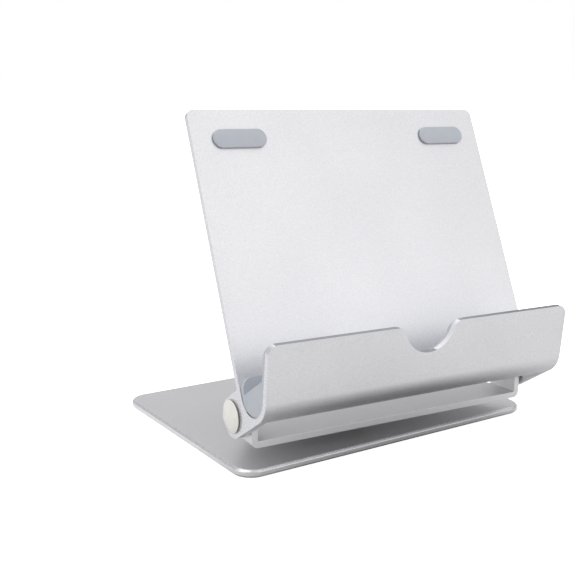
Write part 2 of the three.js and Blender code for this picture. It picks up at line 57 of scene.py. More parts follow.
# ---- Driving dimensions, as in the CAD model ----
BASE_WIDTH = 180 * MM
BASE_DEPTH = 123 * MM
BASE_CORNER = 10 * MM
BASE_CHAMFER = 1 * MM
BASE_TURN = math.radians(3.9)
FOOT_X = 74 * MM
FOOT_Y = 46 * MM
FOOT_RADIUS = 8 * MM
FOOT_TOP = 1.4 * MM
COVER_RADIUS = 17 * MM
COVER_TOP = 1.2 * MM
RECESS_RADIUS = 12 * MM
WEB = 1.4 * MM
SLEEVE_RADIUS = 6 * MM

SHEET = 3.1 * MM
BEND_OUTER = 3.2 * MM
BEND_INNER = 0.6 * MM
EAR_DEPTH = 18 * MM
WING_DEPTH = 22 * MM
WING_HALF = 75 * MM
TONGUE_RADIUS = 28 * MM
HINGE_HOLE = 3.3 * MM
HUB_SCREWS = 3
HUB_SCREW_CIRCLE = 15 * MM
SCREW_HOLE = 1.6 * MM
COUNTERSINK = 3.35 * MM

LEAN = math.radians(25.2)
LIP_LEAN = math.radians(4)
PLATE_LENGTH = 135.6 * MM
PLATE_CORNER = 3.4 * MM
TROUGH_INNER = 10.2 * MM
LIP_SHEET = 2.7 * MM
LIP_LENGTH = 26.2 * MM
LIP_CORNER = 4.8 * MM
TROUGH = HINGE.yz + Vector((-17.9, 15.5)) * MM
CHEEK_THICKNESS = 4 * MM
BOSS = HINGE.yz + Vector((-0.3, -0.6)) * MM
BOSS_RADIUS = 9.4 * MM
CHEEK_RISE = 4.3 * MM
CHEEK_SINK = 0.4 * MM
TAPER_END = 9 * MM
COUNTERBORE = 6.2 * MM
COUNTERBORE_DEPTH = 2.2 * MM
NOTCH_RADIUS = 14.5 * MM
NOTCH_SHOULDER = 5 * MM
NOTCH_DEPTH = 13.7 * MM

# How far each cutter reaches, from and to, across the face that it cuts.
PLATE_REACH = (-2 * MM, 6 * MM)
LIP_REACH = (-2 * MM, 5 * MM)
LINER_BACK_REACH = (-4 * MM, MM)
LINER_FRONT_REACH = (-MM, 4 * MM)
NOTCH_REACH = (-3 * MM, 8 * MM)

LINER_BACK = 2.6 * MM
LINER_FRONT = 2.3 * MM
LINER_REST_BACK = 1 * MM
LINER_REST_FRONT = 8.8 * MM
LINER_BACK_RISE = 8.4 * MM
LINER_LOW = 1.2 * MM
LINER_CORNER = 5.5 * MM
LINER_END = 0.4 * MM
FIT = 0.2 * MM

PAD_LENGTH = 28.2 * MM
PAD_WIDTH = 9.3 * MM
PAD_HEIGHT = 1.5 * MM
PAD_X = 60.2 * MM
PAD_BELOW_TOP = 14.9 * MM

# The pad's crown, in parts of its half width and its height: its side, the round, then the top.
PAD_SIDE = 0.55
PAD_ROUND = 0.14
PAD_ROUND_RISE = 0.30
PAD_ROUND_STEPS = 12
PAD_TOP = [(0.6, 0.94), (0.3, 0.985), (0.08, 1.0)]

CAP_RADIUS = 7.8 * MM
CAP_SEAT = 0.35 * MM
CAP_RIM = 0.5 * MM
CAP_DOME = 2.3 * MM
CAP_BREAK = 0.25 * MM
CAP_STEPS = 24

# ---- Edge roundings ----
BASE_EDGE = 0.18 * MM
PAD_EDGE = 0.5 * MM
BRACKET_EDGE = 0.35 * MM
HOLDER_EDGE = 0.4 * MM
LINER_EDGE = 0.45 * MM
CAP_EDGE = 0.2 * MM
HARDWARE_EDGE = 0.12 * MM
EDGE_SEGMENTS = 3
EDGE_ANGLE = math.radians(32)
HARDWARE_SEGMENTS = 2
HARDWARE_ANGLE = math.radians(40)

# ---- How a face's direction picks its look: parts of a unit normal ----
SLIGHTLY = 0.3
MOSTLY = 0.9
ALMOST_WHOLLY = 0.95
SKIRT_SLOPE = 0.7

# ---- Levels that follow from the frame ----
CHEEK_OUTER = HOLDER_HIGH.x
CHEEK_INNER = CHEEK_OUTER - CHEEK_THICKNESS
EAR_OUTER = BRACKET_HIGH.x
EAR_INNER = EAR_OUTER - SHEET


# ---- Outlines ----
def arc(centre, radius, start, end, steps=24):
    angles = [start + (end - start) * i / steps for i in range(steps + 1)]
    return [(centre[0] + radius * math.cos(a), centre[1] + radius * math.sin(a)) for a in angles]


def rounded_rectangle(width, height, radius):
    """A rectangle round the origin, with rounded corners."""
    x, y = width / 2 - radius, height / 2 - radius
    quarter = math.pi / 2
    corners = [(x, y), (-x, y), (-x, -y), (x, -y)]
    outline = []
    for i, corner in enumerate(corners):
        outline += arc(corner, radius, i * quarter, (i + 1) * quarter)
    return outline


def circle(centre, radius, steps):
    return arc(centre, radius, 0, math.tau, steps)[:-1]


# ---- Meshes ----
JOIN = 0.001 * MM
JOIN_AFTER_CUTS = 0.002 * MM
FLAT_ANGLE = math.radians(0.3)
NORMAL_WEIGHT = 80


def new_piece(name, verts, faces):
    mesh = bpy.data.meshes.new(name)
    mesh.from_pydata([tuple(v) for v in verts], [], faces)
    shape = bmesh.new()
    shape.from_mesh(mesh)
    bmesh.ops.remove_doubles(shape, verts=shape.verts, dist=JOIN)
    bmesh.ops.recalc_face_normals(shape, faces=shape.faces)
    shape.to_mesh(mesh)
    shape.free()
    piece = bpy.data.objects.new(name, mesh)
    bpy.context.scene.collection.objects.link(piece)
    return piece


def across(u, v, w):
    """Places an outline of (y, z) points, w running along x."""
    return (w, u, v)


def from_front(u, v, w):
    """Places an outline of (x, z) points, w running along y."""
    return (u, w, v)


def from_above(u, v, w):
    """Places an outline of (x, y) points, w running up z."""
    return (u, v, w)


def prism(name, outline, start, end, place):
    """An outline of (u, v) points drawn out from start to end along w."""
    count = len(outline)
    verts = [place(u, v, w) for w in (start, end) for u, v in outline]
    sides = [(i, (i + 1) % count, (i + 1) % count + count, i + count) for i in range(count)]
    return new_piece(name, verts, [tuple(range(count)), tuple(range(count, 2 * count)), *sides])


def stacked(name, levels):
    """A closed solid through levels of points, each level with the same number of them."""
    verts, faces, count = [], [], len(levels[0])
    for level in levels:
        verts += level
    for row in range(len(levels) - 1):
        low, high = row * count, (row + 1) * count
        for i in range(count):
            after = (i + 1) % count
            faces.append((low + i, low + after, high + after, high + i))
    faces += [tuple(range(count)), tuple(range(len(verts) - count, len(verts)))]
    return new_piece(name, verts, faces)


def turned(name, profile, place, steps=96):
    """A profile of (radius, height) pairs turned about the w axis, where it starts and ends."""
    verts, faces, rows = [], [], len(profile)
    for i in range(steps):
        angle = 2 * math.pi * i / steps
        verts += [place(r * math.cos(angle), r * math.sin(angle), h) for r, h in profile]
    for i in range(steps):
        here, there = i * rows, (i + 1) % steps * rows
        faces += [(here + j, here + j + 1, there + j + 1, there + j) for j in range(rows - 1)]
    return new_piece(name, verts, faces)


def about_hinge(side):
    """Places (u, v, w) round the hinge axis, w running outward to the given side."""
    return lambda u, v, w: (side * w, HINGE.y + u, HINGE.z + v)


def apply_modifiers(piece):
    graph = bpy.context.evaluated_depsgraph_get()
    result = bpy.data.meshes.new_from_object(piece.evaluated_get(graph))
    piece.modifiers.clear()
    piece.data = result


def combine(body, tool, operation="DIFFERENCE"):
    change = body.modifiers.new("combine", "BOOLEAN")
    change.operation = operation
    change.object = tool
    change.solver = "EXACT"
    apply_modifiers(body)
    bpy.data.objects.remove(tool)


def merge_flats(piece):
    """Joins the slivers that the cuts leave in flat faces."""
    shape = bmesh.new()
    shape.from_mesh(piece.data)
    bmesh.ops.remove_doubles(shape, verts=shape.verts, dist=JOIN_AFTER_CUTS)
    bmesh.ops.dissolve_limit(shape, angle_limit=FLAT_ANGLE, verts=shape.verts, edges=shape.edges)
    shape.to_mesh(piece.data)
    shape.free()


def dress(piece, body, looks, cad, edge=0.0, pick=None):
    """Looks, rounded edges and smooth shading, then the body it rides on and the CAD it stands for.

    The piece takes the first look and its rounded edges the second, but where pick() names another.
    """
    piece.data.materials.clear()
    for look in looks:
        piece.data.materials.append(look)
    for face in piece.data.polygons:
        face.use_smooth = True
        face.material_index = 0
    if edge:
        rounding = piece.modifiers.new("edges", "BEVEL")
        rounding.width = edge
        rounding.segments = EDGE_SEGMENTS
        rounding.limit_method = "ANGLE"
        rounding.angle_limit = EDGE_ANGLE
        rounding.material = 1
        apply_modifiers(piece)
    if pick:
        for face in piece.data.polygons:
            look = pick(face)
            if look:
                face.material_index = looks.index(look)
    normals = piece.modifiers.new("normals", "WEIGHTED_NORMAL")
    normals.keep_sharp = True
    normals.weight = NORMAL_WEIGHT
    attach(piece, body)
    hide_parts(cad)


# ---- Materials ----
GRAIN_PART = 0.9
MARK_SHADE = 0.93
STEEL_SHADE = 0.8


def node_material(name):
    material = bpy.data.materials.new(name)
    material.use_nodes = True
    nodes = material.node_tree.nodes
    return material, nodes, material.node_tree.links, nodes["Principled BSDF"]


def noise(nodes, links, feature, detail):
    """Noise over the object's own coordinates, with features of about the given size in metres."""
    place = nodes.new("ShaderNodeTexCoord")
    texture = nodes.new("ShaderNodeTexNoise")
    texture.inputs["Scale"].default_value = 1 / feature
    texture.inputs["Detail"].default_value = detail
    links.new(place.outputs["Object"], texture.inputs["Vector"])
    return texture.outputs["Fac"]


def spread(nodes, links, value, low, high, start=0.3, end=0.7):
    """Takes a value from the range start to end, where most noise lies, to low to high."""
    remap = nodes.new("ShaderNodeMapRange")
    remap.inputs["From Min"].default_value = start
    remap.inputs["From Max"].default_value = end
    remap.inputs["To Min"].default_value = low
    remap.inputs["To Max"].default_value = high
    links.new(value, remap.inputs["Value"])
    return remap.outputs["Result"]


def vary(nodes, links, value, middle, by):
    """Spreads noise evenly about a middle value."""
    return spread(nodes, links, value, middle - by, middle + by)


def tint(nodes, links, value, dark, light):
    """Mixes two colours by a value."""
    mix = nodes.new("ShaderNodeMix")
    mix.data_type = "RGBA"
    mix.inputs["A"].default_value = (*dark, 1)
    mix.inputs["B"].default_value = (*light, 1)
    links.new(value, mix.inputs["Factor"])
    return mix.outputs["Result"]


def bump(nodes, links, shader, value, height, strength):
    relief = nodes.new("ShaderNodeBump")
    relief.inputs["Distance"].default_value = height
    relief.inputs["Strength"].default_value = strength
    links.new(value, relief.inputs["Height"])
    links.new(relief.outputs["Normal"], shader.inputs["Normal"])


def blasted_aluminium(name, dark, light, rough, metal):
    """Bead-blasted and anodised: a fine even grain with a faint cloudiness."""
    material, nodes, links, shader = node_material(name)
    grain = noise(nodes, links, feature=0.7 * MM, detail=3)
    cloud = noise(nodes, links, feature=40 * MM, detail=1)
    mixed = nodes.new("ShaderNodeMath")
    mixed.operation = "MULTIPLY_ADD"
    mixed.inputs[1].default_value = GRAIN_PART
    links.new(grain, mixed.inputs[0])
    links.new(spread(nodes, links, cloud, 0, 1 - GRAIN_PART), mixed.inputs[2])
    links.new(tint(nodes, links, mixed.outputs[0], dark, light), shader.inputs["Base Color"])
    links.new(vary(nodes, links, grain, rough, by=0.05), shader.inputs["Roughness"])
    shader.inputs["Metallic"].default_value = metal
    bump(nodes, links, shader, grain, height=0.03 * MM, strength=0.7)
    return material


def cut_aluminium(name, colour):
    """The brighter metal of a machined edge, with fine tool marks."""
    material, nodes, links, shader = node_material(name)
    marks = noise(nodes, links, feature=0.3 * MM, detail=2)
    darker = tuple(MARK_SHADE * c for c in colour)
    links.new(tint(nodes, links, marks, darker, colour), shader.inputs["Base Color"])
    links.new(spread(nodes, links, marks, low=0.24, high=0.33), shader.inputs["Roughness"])
    shader.inputs["Metallic"].default_value = 0.8
    return material


def silicone(name, dark, light, rough):
    """Matt rubber: faintly cloudy, with fine pores."""
    material, nodes, links, shader = node_material(name)
    cloud = noise(nodes, links, feature=6 * MM, detail=3)
    pores = noise(nodes, links, feature=0.35 * MM, detail=2)
    links.new(tint(nodes, links, cloud, dark, light), shader.inputs["Base Color"])
    links.new(vary(nodes, links, pores, rough, by=0.06), shader.inputs["Roughness"])
    shader.inputs["Subsurface Weight"].default_value = 0.15
    shader.inputs["Subsurface Scale"].default_value = 2 * MM
    shader.inputs["Sheen Weight"].default_value = 0.15
    bump(nodes, links, shader, pores, height=0.02 * MM, strength=0.4)
    return material


def moulded_plastic(name, dark, light, rough, coat):
    """Plastic with a barely uneven skin under a clear gloss, whose weight is the coat."""
    material, nodes, links, shader = node_material(name)
    cloud = noise(nodes, links, feature=4 * MM, detail=2)
    skin = noise(nodes, links, feature=0.5 * MM, detail=2)
    links.new(tint(nodes, links, cloud, dark, light), shader.inputs["Base Color"])
    links.new(vary(nodes, links, skin, rough, by=0.04), shader.inputs["Roughness"])
    shader.inputs["Coat Weight"].default_value = coat
    shader.inputs["Coat Roughness"].default_value = 0.12
    bump(nodes, links, shader, skin, height=0.01 * MM, strength=0.3)
    return material


def turned_steel(name, colour):
    """Plain steel with fine uneven marks."""
    material, nodes, links, shader = node_material(name)
    marks = noise(nodes, links, feature=0.25 * MM, detail=3)
    darker = tuple(STEEL_SHADE * c for c in colour)
    links.new(tint(nodes, links, marks, darker, colour), shader.inputs["Base Color"])
    links.new(spread(nodes, links, marks, low=0.25, high=0.42), shader.inputs["Roughness"])
    shader.inputs["Metallic"].default_value = 1.0
    bump(nodes, links, shader, marks, height=0.01 * MM, strength=0.4)
    return material


HOLDER_METAL = blasted_aluminium(
    "holder_metal", dark=(0.68, 0.68, 0.70), light=(0.98, 0.98, 1.0), rough=0.45, metal=0.88
)
BASE_METAL = blasted_aluminium(
    "base_metal", dark=(0.63, 0.63, 0.64), light=(0.83, 0.83, 0.84), rough=0.46, metal=0.5
)
# Painted light: a lighter copy of the base metal, for faces that are meant to look lit.
PAINTED_LIGHT_METAL = blasted_aluminium(
    "painted_light_metal", dark=(0.92, 0.92, 0.93), light=(1.0, 1.0, 1.0), rough=0.4, metal=0.5
)
# Painted shade: a darker copy of the metal for the tops of plate and lip.
SHADED_METAL = blasted_aluminium(
    "shaded_metal", dark=(0.30, 0.31, 0.33), light=(0.38, 0.39, 0.41), rough=0.5, metal=0.9
)
# Painted dark reflection: almost black metal for the bevels at the front of the holder's ends.
PAINTED_REFLECTION_METAL = blasted_aluminium(
    "painted_reflection_metal", dark=(0.10, 0.10, 0.11), light=(0.14, 0.14, 0.15), rough=0.55, metal=0.9
)
CUT_METAL = cut_aluminium("cut_metal", (0.93, 0.93, 0.96))
GREY_SILICONE = silicone(
    "grey_silicone", dark=(0.50, 0.53, 0.58), light=(0.56, 0.59, 0.64), rough=0.5
)
SHADED_SILICONE = silicone(
    "shaded_silicone", dark=(0.27, 0.30, 0.34), light=(0.33, 0.36, 0.40), rough=0.5
)
FOOT_RUBBER = silicone(
    "foot_rubber", dark=(0.13, 0.135, 0.14), light=(0.17, 0.175, 0.18), rough=0.6
)
CREAM_PLASTIC = moulded_plastic(
    "cream_plastic", dark=(0.90, 0.88, 0.82), light=(0.95, 0.94, 0.89), rough=0.25, coat=0.6
)
SHADED_PLASTIC = moulded_plastic(
    "shaded_plastic", dark=(0.12, 0.11, 0.09), light=(0.16, 0.15, 0.12), rough=0.35, coat=0.3
)
DARK_NYLON = moulded_plastic(
    "dark_nylon", dark=(0.015, 0.015, 0.017), light=(0.025, 0.025, 0.028), rough=0.5, coat=0.0
)
STEEL = turned_steel("steel", (0.62, 0.62, 0.63))


# ---- Base ----
def base_slab():
    """The slab with its chamfers: one outline at four levels, pulled in at the top and bottom."""
    low, high, cut = BASE_LOW.z, BASE_HIGH.z, BASE_CHAMFER
    levels = []
    for z, inset in [(low, cut), (low + cut, 0), (high - cut, 0), (high, cut)]:
        width, depth = BASE_WIDTH - 2 * inset, BASE_DEPTH - 2 * inset
        levels.append([(u, v, z) for u, v in rounded_rectangle(width, depth, BASE_CORNER - inset)])
    return stacked("base_slab", levels)


def base_look(face):
    """Sides with painted light, lighter than the top, and machined chamfers."""
    if abs(face.normal.z) < SLIGHTLY:
        return PAINTED_LIGHT_METAL
    return CUT_METAL if abs(face.normal.z) < ALMOST_WHOLLY else BASE_METAL


def base_plate():
    plate = base_slab()
    sink = -MM
    holes = [
        (0, 0, SLEEVE_RADIUS, BASE_HIGH.z - sink),
        (0, 0, RECESS_RADIUS, BASE_HIGH.z - WEB),
        (0, 0, COVER_RADIUS + FIT, COVER_TOP + FIT),
    ]
    for x in (-FOOT_X, FOOT_X):
        for y in (-FOOT_Y, FOOT_Y):
            holes.append((x, y, FOOT_RADIUS + FIT, FOOT_TOP + FIT))
    for x, y, radius, top in holes:
        combine(plate, prism("hole", circle((x, y), radius, steps=72), sink, top, from_above))
    merge_flats(plate)
    plate.data.transform(Matrix.Rotation(BASE_TURN, 4, "Z"))
    looks = [BASE_METAL, CUT_METAL, PAINTED_LIGHT_METAL]
    dress(plate, "base", looks, "base_plate", BASE_EDGE, base_look)


def round_pad(name, centre, radius, top, cad):
    profile = [(0, 0), (radius - PAD_EDGE, 0)]
    profile += arc((radius - PAD_EDGE, PAD_EDGE), PAD_EDGE, -math.pi / 2, 0, steps=6)
    profile += [(radius, top), (0, top)]
    pad = turned(name, profile, lambda u, v, w: (centre.x + u, centre.y + v, w))
    dress(pad, "base", [FOOT_RUBBER], cad)


def feet():
    turn = Matrix.Rotation(BASE_TURN, 3, "Z")
    for word_y, y in (("front", -FOOT_Y), ("rear", FOOT_Y)):
        for word_x, x in (("left", -FOOT_X), ("right", FOOT_X)):
            name = f"{word_y}_{word_x}"
            centre = turn @ Vector((x, y, 0))
            round_pad(f"foot_{name}", centre, FOOT_RADIUS, FOOT_TOP, f"foot_pad_{name}")
    round_pad("pivot_cover", Vector((0, 0, 0)), COVER_RADIUS, COVER_TOP, "pivot_cover_pad")


# ---- Bracket ----
def bracket_section():
    low, top = BRACKET_LOW.z, HINGE.z + EAR_DEPTH / 2
    outer, inner = EAR_OUTER - BEND_OUTER, EAR_INNER - BEND_INNER
    bend, floor = low + BEND_OUTER, low + SHEET + BEND_INNER
    quarter = math.pi / 2
    return [
        (EAR_OUTER, top), (EAR_INNER, top),
        *arc((inner, floor), BEND_INNER, 0, -quarter, steps=6),
        *arc((-inner, floor), BEND_INNER, -quarter, -2 * quarter, steps=6),
        (-EAR_INNER, top), (-EAR_OUTER, top),
        *arc((-outer, bend), BEND_OUTER, 2 * quarter, 3 * quarter, steps=12),
        *arc((outer, bend), BEND_OUTER, 3 * quarter, 4 * quarter, steps=12),
    ]


def ear_side():
    half = EAR_DEPTH / 2
    foot = BRACKET_LOW.z - MM
    crown = arc(HINGE.yz, half, 0, math.pi, steps=48)
    return [(HINGE.y - half, foot), (HINGE.y + half, foot), *crown]


def bracket_plan():
    front = BRACKET_LOW.y
    back = front + WING_DEPTH
    reach = math.hypot(WING_HALF, back)
    taper = math.atan2(-back, WING_HALF) + math.asin(TONGUE_RADIUS / reach)
    start = math.pi / 2 - taper
    tongue = arc((0, 0), TONGUE_RADIUS, start, math.pi - start, steps=64)
    return [(-WING_HALF, front), (WING_HALF, front), (WING_HALF, back), *tongue, (-WING_HALF, back)]


def screw_hole(x, y):
    """A countersunk hole down through the bracket's plate."""
    low, top = BRACKET_LOW.z, BRACKET_LOW.z + SHEET
    over = COUNTERSINK + MM
    profile = [
        (0, low - MM), (SCREW_HOLE, low - MM), (SCREW_HOLE, top - COUNTERSINK + SCREW_HOLE),
        (over, top + MM), (0, top + MM),
    ]
    return turned("hole", profile, lambda u, v, w: (x + u, y + v, w), steps=48)


def bracket_look(face):
    """Painted light: a lighter front edge and ears."""
    if face.normal.y < -MOSTLY or abs(face.normal.x) > MOSTLY:
        return PAINTED_LIGHT_METAL


def swivel_bracket():
    front = BRACKET_LOW.y
    bracket = prism("bracket_sheet", bracket_section(), front, front + EAR_DEPTH, from_front)
    ears = prism("ears", ear_side(), -EAR_OUTER - MM, EAR_OUTER + MM, across)
    combine(bracket, ears, "INTERSECT")
    plate = prism("plate", bracket_plan(), BRACKET_LOW.z, BRACKET_LOW.z + SHEET, from_above)
    combine(bracket, plate, "UNION")
    hole = circle(HINGE.yz, HINGE_HOLE, steps=48)
    combine(bracket, prism("hole", hole, -EAR_OUTER - MM, EAR_OUTER + MM, across))
    for i in range(HUB_SCREWS):
        angle = math.pi / 2 + i * math.tau / HUB_SCREWS
        x, y = HUB_SCREW_CIRCLE * math.cos(angle), HUB_SCREW_CIRCLE * math.sin(angle)
        combine(bracket, screw_hole(x, y))
    merge_flats(bracket)
    # The rounded edges take the second look, the metal with painted light.
    looks = [BASE_METAL, PAINTED_LIGHT_METAL]
    edge = BRACKET_EDGE
    dress(bracket, "turntable", looks, "swivel_bracket", edge, bracket_look)


# ---- Holder ----
def on_plate(up, back):
    """A (y, z) point on the back plate: up from the trough's bend, and back from the front face."""
    out = TROUGH_INNER + back
    along = Vector((math.sin(LEAN), math.cos(LEAN)))
    behind = Vector((math.cos(LEAN), -math.sin(LEAN)))
    return tuple(TROUGH + along * up + behind * out)


def on_lip(up, outward):
    """A (y, z) point on the lip: up from the trough's bend, and out from the inner face."""
    out = TROUGH_INNER + outward
    along = Vector((-math.sin(LIP_LEAN), math.cos(LIP_LEAN)))
    ahead = Vector((-math.cos(LIP_LEAN), -math.sin(LIP_LEAN)))
    return tuple(TROUGH + along * up + ahead * out)


def trough_arc(radius):
    return arc(TROUGH, radius, LIP_LEAN - math.pi, -LEAN, steps=48)


def holder_section():
    return [
        on_lip(LIP_LENGTH, 0), *trough_arc(TROUGH_INNER),
        on_plate(PLATE_LENGTH, 0), on_plate(PLATE_LENGTH, SHEET), on_plate(TAPER_END, SHEET),
        *reversed(trough_arc(TROUGH_INNER + LIP_SHEET)), on_lip(LIP_LENGTH, LIP_SHEET),
    ]


def cheek_section():
    to_trough = TROUGH - BOSS
    outer = TROUGH_INNER + LIP_SHEET
    under = math.atan2(to_trough.y, to_trough.x) - math.tau
    under += math.acos((BOSS_RADIUS - outer) / to_trough.length)
    corner = Vector(on_plate(CHEEK_RISE, SHEET - CHEEK_SINK))
    to_corner = corner - BOSS
    over = math.atan2(to_corner.y, to_corner.x) - math.acos(BOSS_RADIUS / to_corner.length)
    inside = arc(TROUGH, TROUGH_INNER + LIP_SHEET / 2, -LEAN, under)
    tangent = arc(TROUGH, outer, under, under, steps=1)[0]
    return [tuple(corner), *inside, tangent, *arc(BOSS, BOSS_RADIUS, under, over, steps=64)]


def corner_cutter(radius, side):
    over = MM
    outline = arc((-radius, -radius), radius, 0, math.pi / 2, steps=16)
    outline += [(-radius, over), (over, over), (over, -radius)]
    return [(side * u, v) for u, v in outline]


def leaning(origin, lean, x=0.0):
    """Places an (x, up) outline in a face that leans back from a (y, z) point."""
    turn = Matrix.Rotation(-lean, 3, "X")
    return lambda u, v, w: Vector((x + u, origin[0], origin[1])) + turn @ Vector((0, w, v))


def notch_section(top, drop):
    """The notch's (x, z) outline: a round bottom between two rounded shoulders."""
    over = top + 3 * MM
    centre, shoulder = top - NOTCH_DEPTH + NOTCH_RADIUS, top - NOTCH_SHOULDER
    rise = centre - shoulder
    half = math.sqrt((NOTCH_RADIUS + NOTCH_SHOULDER) ** 2 - rise**2)
    turn = math.atan2(rise, half)
    outline = [
        *arc((half, shoulder), NOTCH_SHOULDER, math.pi / 2, math.pi - turn, steps=16),
        *arc((0, centre), NOTCH_RADIUS, -turn, turn - math.pi, steps=64)[1:-1],
        *arc((-half, shoulder), NOTCH_SHOULDER, turn, math.pi / 2, steps=16),
        (-half, over), (half, over),
    ]
    return [(u, v - drop) for u, v in outline]


def holder_look(face):
    """Bright cut ends; painted dark reflection on the front edges and painted shade on the tops of plate and lip,
    as the photo shades them.
    """
    side = abs(face.normal.x)
    if face.normal.z > MOSTLY and side < SLIGHTLY:
        return SHADED_METAL
    if SLIGHTLY < side < ALMOST_WHOLLY and face.normal.y < -SLIGHTLY:
        return PAINTED_REFLECTION_METAL
    if side > ALMOST_WHOLLY:
        return CUT_METAL


def cut_corner(body, radius, side, reach, place):
    combine(body, prism("corner", corner_cutter(radius, side), *reach, place))


def cut_notch(body, drop=0.0):
    """Cuts the lip's notch, lowered by the drop."""
    front, top = on_lip(LIP_LENGTH, LIP_SHEET)
    start, end = [front + reach for reach in NOTCH_REACH]
    combine(body, prism("notch", notch_section(top, drop), start, end, from_front))


def tilt_holder():
    holder = prism("holder_sheet", holder_section(), -CHEEK_OUTER, CHEEK_OUTER, across)
    for side in (-1, 1):
        cheek = prism("cheek", cheek_section(), side * CHEEK_INNER, side * CHEEK_OUTER, across)
        combine(holder, cheek, "UNION")
        edge = side * CHEEK_OUTER
        plate_top = leaning(on_plate(PLATE_LENGTH, 0), LEAN, edge)
        cut_corner(holder, PLATE_CORNER, side, PLATE_REACH, plate_top)
        lip_top = leaning(on_lip(LIP_LENGTH, LIP_SHEET), -LIP_LEAN, edge)
        cut_corner(holder, LIP_CORNER, side, LIP_REACH, lip_top)
        bore = circle((0, 0), HINGE_HOLE, steps=48)
        combine(holder, prism("bore", bore, CHEEK_INNER - MM, CHEEK_OUTER + MM, about_hinge(side)))
        wide = circle((0, 0), COUNTERBORE, steps=72)
        floor = CHEEK_OUTER - COUNTERBORE_DEPTH
        combine(holder, prism("counterbore", wide, floor, CHEEK_OUTER + MM, about_hinge(side)))
    cut_notch(holder)
    merge_flats(holder)
    looks = [HOLDER_METAL, CUT_METAL, SHADED_METAL, PAINTED_REFLECTION_METAL]
    dress(holder, "holder", looks, "tilt_holder", HOLDER_EDGE, holder_look)


def liner_look(face):
    """A darker slope, where the tablet stands, as the photo shades it."""
    front, back = on_lip(LINER_REST_FRONT, -LINER_FRONT), on_plate(LINER_REST_BACK, -LINER_BACK)
    slope = Vector(back) - Vector(front)
    upright = Vector((0, -slope.y, slope.x)).normalized()
    on_slope = abs(face.normal.dot(upright)) > ALMOST_WHOLLY and face.normal.z > 0
    return SHADED_SILICONE if on_slope else GREY_SILICONE


def trough_liner():
    end = CHEEK_OUTER - LINER_END
    front_top = LIP_LENGTH - LINER_LOW
    section = [
        on_lip(front_top, -FIT), *trough_arc(TROUGH_INNER - FIT),
        on_plate(LINER_BACK_RISE, -FIT), on_plate(LINER_BACK_RISE, -LINER_BACK),
        on_plate(LINER_REST_BACK, -LINER_BACK), on_lip(LINER_REST_FRONT, -LINER_FRONT),
        on_lip(front_top, -LINER_FRONT),
    ]
    liner = prism("liner", section, -end, end, across)
    for side in (-1, 1):
        back = leaning(on_plate(LINER_BACK_RISE, 0), LEAN, side * end)
        cut_corner(liner, LINER_CORNER, side, LINER_BACK_REACH, back)
        front = leaning(on_lip(front_top, 0), -LIP_LEAN, side * end)
        cut_corner(liner, LIP_CORNER, side, LINER_FRONT_REACH, front)
    cut_notch(liner, LINER_LOW)
    merge_flats(liner)
    looks = [GREY_SILICONE, SHADED_SILICONE]
    dress(liner, "holder", looks, "trough_liner", LINER_EDGE, liner_look)


def corner_pad(word, side):
    """A stadium with a low crown: rings of its outline, each smaller and higher."""
    place = leaning(on_plate(PLATE_LENGTH - PAD_BELOW_TOP, -FIT), LEAN, side * PAD_X)
    half = PAD_LENGTH / 2 - PAD_WIDTH / 2
    rings = [(1.0, 0.0)]
    for i in range(PAD_ROUND_STEPS + 1):
        angle = i / PAD_ROUND_STEPS * math.pi / 2
        size = 1 - PAD_ROUND + PAD_ROUND * math.cos(angle)
        rings.append((size, PAD_SIDE + PAD_ROUND_RISE * math.sin(angle)))
    levels = []
    for size, height in rings + PAD_TOP:
        radius = PAD_WIDTH / 2 * size
        outline = arc((half, 0), radius, -math.pi / 2, math.pi / 2)
        outline += arc((-half, 0), radius, math.pi / 2, 1.5 * math.pi)
        levels.append([place(u, v, -PAD_HEIGHT * height) for u, v in outline])
    pad = stacked(f"pad_{word}", levels)
    dress(pad, "holder", [GREY_SILICONE], f"corner_pad_{word}")


# ---- Hinge hardware ----
def cap_look(face):
    """A darker skirt round the dome, as the photo shades it."""
    return SHADED_PLASTIC if abs(face.normal.x) < SKIRT_SLOPE else CREAM_PLASTIC


def hinge_cap(word, side):
    """A dome, part of a sphere, on a short rim whose seat has a broken edge."""
    rim = CAP_SEAT + CAP_RIM
    sphere = (CAP_RADIUS**2 + CAP_DOME**2) / (2 * CAP_DOME)
    half = math.asin(CAP_RADIUS / sphere)
    profile = [(0, CAP_SEAT), (CAP_RADIUS - CAP_BREAK, CAP_SEAT)]
    profile += [(CAP_RADIUS, CAP_SEAT + CAP_BREAK), (CAP_RADIUS, rim)]
    for i in range(1, CAP_STEPS + 1):
        angle = half * (1 - i / CAP_STEPS)
        height = sphere * (math.cos(angle) - math.cos(half))
        profile.append((sphere * math.sin(angle), rim + height))
    profile = [(r, CHEEK_OUTER + h) for r, h in profile]
    cap = turned(f"cap_{word}", profile, about_hinge(side))
    looks = [CREAM_PLASTIC, SHADED_PLASTIC]
    dress(cap, "holder", looks, f"hinge_cap_{word}", CAP_EDGE, cap_look)


def cad_hardware():
    """The small pieces whose CAD shape is right: they get rounded edges and a better material."""
    looks = {"hardware_steel": STEEL, "nylon": DARK_NYLON, "base_aluminium": BASE_METAL}
    slots = {s["node"]: s["material_slot"] for s in frame["record"]["subparts"]}
    for name, node in frame["nodes"].items():
        if node.hide_render:
            continue
        look = looks[slots[name]]
        for material_slot in node.material_slots:
            material_slot.material = look
        rounding = node.modifiers.new("edges", "BEVEL")
        rounding.width = HARDWARE_EDGE
        rounding.segments = HARDWARE_SEGMENTS
        rounding.limit_method = "ANGLE"
        rounding.angle_limit = HARDWARE_ANGLE


# ---- Stage ----
CAMERA_PLACE = Vector((-0.2689, -0.4157, 0.1749))
CAMERA_AZIMUTH = math.radians(-30.33)
CAMERA_ELEVATION = math.radians(12.23)
CAMERA_ROLL = math.radians(1.04)
CAMERA_LENS = 59.6
CAMERA_SENSOR = 36

WHITE = (1, 1, 1, 1)
